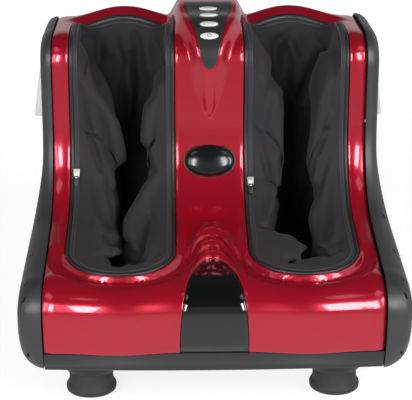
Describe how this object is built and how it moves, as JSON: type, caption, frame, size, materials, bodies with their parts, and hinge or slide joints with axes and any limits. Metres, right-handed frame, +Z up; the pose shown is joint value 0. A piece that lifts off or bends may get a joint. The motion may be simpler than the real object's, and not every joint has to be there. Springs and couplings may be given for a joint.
{
  "type": "foot and leg massager",
  "caption": "Foot and calf massager: fabric-lined wells in a glossy moulded body, a raised control console, and a kneading and rolling drive, on round rubber feet.",
  "frame": {"origin": "on the floor under the middle of the body, midway between the side panels", "axes": "+X across, to the right as seen from the toe; +Y from the toe to the rear; +Z up"},
  "size_m": [0.439, 0.4377, 0.4055],
  "materials": {
    "red_gloss_abs": "glossy moulded ABS",
    "charcoal_satin_abs": "satin moulded ABS",
    "black_satin_abs": "satin moulded ABS",
    "black_gloss_abs": "polished moulded ABS",
    "dark_grey_acrylic": "semi-gloss printed acrylic",
    "white_abs": "semi-gloss moulded ABS",
    "silver_painted_abs": "silver paint on ABS",
    "black_rubber": "matte moulded rubber",
    "charcoal_polyester": "brushed polyester cloth with a slight sheen",
    "black_nylon_tape": "woven nylon zip tape with a coil",
    "nickel_plated_zinc": "nickel plated",
    "bright_steel": "bright zinc plated or ground",
    "grey_nylon": "as moulded",
    "green_circuit_board": "solder mask"
  },
  "bodies": {
    "housing": {"base_tray": "black_satin_abs", "button_board": "green_circuit_board", "chassis": "grey_nylon", "control_plate": "dark_grey_acrylic", "foot_front_left": "black_rubber", "foot_front_right": "black_rubber", "foot_rear_left": "black_rubber", "foot_rear_right": "black_rubber", "front_shell": "red_gloss_abs", "knead_gearbox": "grey_nylon", "knead_motor": "bright_steel", "left_bearing": "grey_nylon", "left_collar": "black_satin_abs", "left_grip": "silver_painted_abs", "left_liner": "charcoal_polyester", "left_side_panel": "charcoal_satin_abs", "left_sole_plate": "grey_nylon", "left_zip": "black_nylon_tape", "lower_left_rear_screw": "bright_steel", "lower_right_rear_screw": "bright_steel", "nose_cover": "black_gloss_abs", "oval_lens": "black_gloss_abs", "power_board": "green_circuit_board", "power_inlet": "black_satin_abs", "rear_cover": "black_satin_abs", "right_bearing": "grey_nylon", "right_collar": "black_satin_abs", "right_grip": "silver_painted_abs", "right_liner": "charcoal_polyester", "right_side_panel": "charcoal_satin_abs", "right_sole_plate": "grey_nylon", "right_zip": "black_nylon_tape", "roller_belt": "black_rubber", "roller_gearbox": "grey_nylon", "roller_motor": "bright_steel", "upper_left_rear_screw": "bright_steel", "upper_right_rear_screw": "bright_steel"},
    "power_key": {"power_button": "white_abs"},
    "heat_key": {"heat_button": "white_abs"},
    "speed_key": {"speed_button": "white_abs"},
    "mode_key": {"mode_button": "white_abs"},
    "rocker": {"power_rocker": "black_gloss_abs"},
    "knead_spindle": {"knead_shaft": "bright_steel"},
    "left_inner_arm": {"left_inner_paddle": "grey_nylon"},
    "left_outer_arm": {"left_outer_paddle": "grey_nylon"},
    "right_inner_arm": {"right_inner_paddle": "grey_nylon"},
    "right_outer_arm": {"right_outer_paddle": "grey_nylon"},
    "front_roller": {"front_roller_shaft": "bright_steel", "front_left_roller": "grey_nylon", "front_right_roller": "grey_nylon"},
    "rear_roller": {"rear_roller_shaft": "bright_steel", "rear_left_roller": "grey_nylon", "rear_right_roller": "grey_nylon"},
    "left_zip_slider": {"left_slider": "nickel_plated_zinc"},
    "right_zip_slider": {"right_slider": "nickel_plated_zinc"},
    "left_zip_pull": {"left_pull": "black_satin_abs"},
    "right_zip_pull": {"right_pull": "black_satin_abs"}
  },
  "joints": [
    {"name": "power_press", "type": "slide", "parent": "housing", "child": "power_key", "axis": [0, 0.6058, -0.7956], "range_m": [0, 0.001], "stiffness_N_per_m": 800},
    {"name": "heat_press", "type": "slide", "parent": "housing", "child": "heat_key", "axis": [0, 0.3456, -0.9384], "range_m": [0, 0.001], "stiffness_N_per_m": 800},
    {"name": "speed_press", "type": "slide", "parent": "housing", "child": "speed_key", "axis": [0, 0.1643, -0.9864], "range_m": [0, 0.001], "stiffness_N_per_m": 800},
    {"name": "mode_press", "type": "slide", "parent": "housing", "child": "mode_key", "axis": [0, 0.1642, -0.9864], "range_m": [0, 0.001], "stiffness_N_per_m": 800},
    {"name": "rocker_tip", "type": "hinge", "parent": "housing", "child": "rocker", "pos_m": [-0.048, 0.212, 0.107], "axis": [-1, 0, 0], "range_deg": [0, 16]},
    {"name": "knead_turn", "type": "hinge", "parent": "housing", "child": "knead_spindle", "pos_m": [0, 0.174, 0.255], "axis": [1, 0, 0], "continuous": true},
    {"name": "left_inner_sway", "type": "hinge", "parent": "housing", "child": "left_inner_arm", "pos_m": [-0.034, 0.174, 0.255], "axis": [0, 0, 1], "range_deg": [-2, 2]},
    {"name": "left_outer_sway", "type": "hinge", "parent": "housing", "child": "left_outer_arm", "pos_m": [-0.176, 0.174, 0.255], "axis": [0, 0, 1], "range_deg": [-2, 2]},
    {"name": "right_inner_sway", "type": "hinge", "parent": "housing", "child": "right_inner_arm", "pos_m": [0.034, 0.174, 0.255], "axis": [0, 0, 1], "range_deg": [-2, 2]},
    {"name": "right_outer_sway", "type": "hinge", "parent": "housing", "child": "right_outer_arm", "pos_m": [0.176, 0.174, 0.255], "axis": [0, 0, 1], "range_deg": [-2, 2]},
    {"name": "rear_roller_turn", "type": "hinge", "parent": "housing", "child": "rear_roller", "pos_m": [0, 0.02, 0.064], "axis": [1, 0, 0], "continuous": true},
    {"name": "front_roller_turn", "type": "hinge", "parent": "housing", "child": "front_roller", "pos_m": [0, -0.085, 0.064], "axis": [1, 0, 0], "continuous": true},
    {"name": "left_slider_run", "type": "hinge", "parent": "housing", "child": "left_zip_slider", "pos_m": [-0.1631, -0.074, 0.268], "axis": [1, 0, 0], "range_deg": [-30, 28]},
    {"name": "right_slider_run", "type": "hinge", "parent": "housing", "child": "right_zip_slider", "pos_m": [0.0499, -0.074, 0.268], "axis": [1, 0, 0], "range_deg": [-25, 33]},
    {"name": "left_pull_swing", "type": "hinge", "parent": "left_zip_slider", "child": "left_zip_pull", "pos_m": [-0.1631, 0.00236, 0.21656], "axis": [-1, 0, 0], "range_deg": [0, 100]},
    {"name": "right_pull_swing", "type": "hinge", "parent": "right_zip_slider", "child": "right_zip_pull", "pos_m": [0.0499, -0.00451, 0.20762], "axis": [-1, 0, 0], "range_deg": [0, 100]}
  ],
  "couplings": [
    {"joint": "front_roller_turn", "follows": "rear_roller_turn", "ratio": 1}
  ]
}
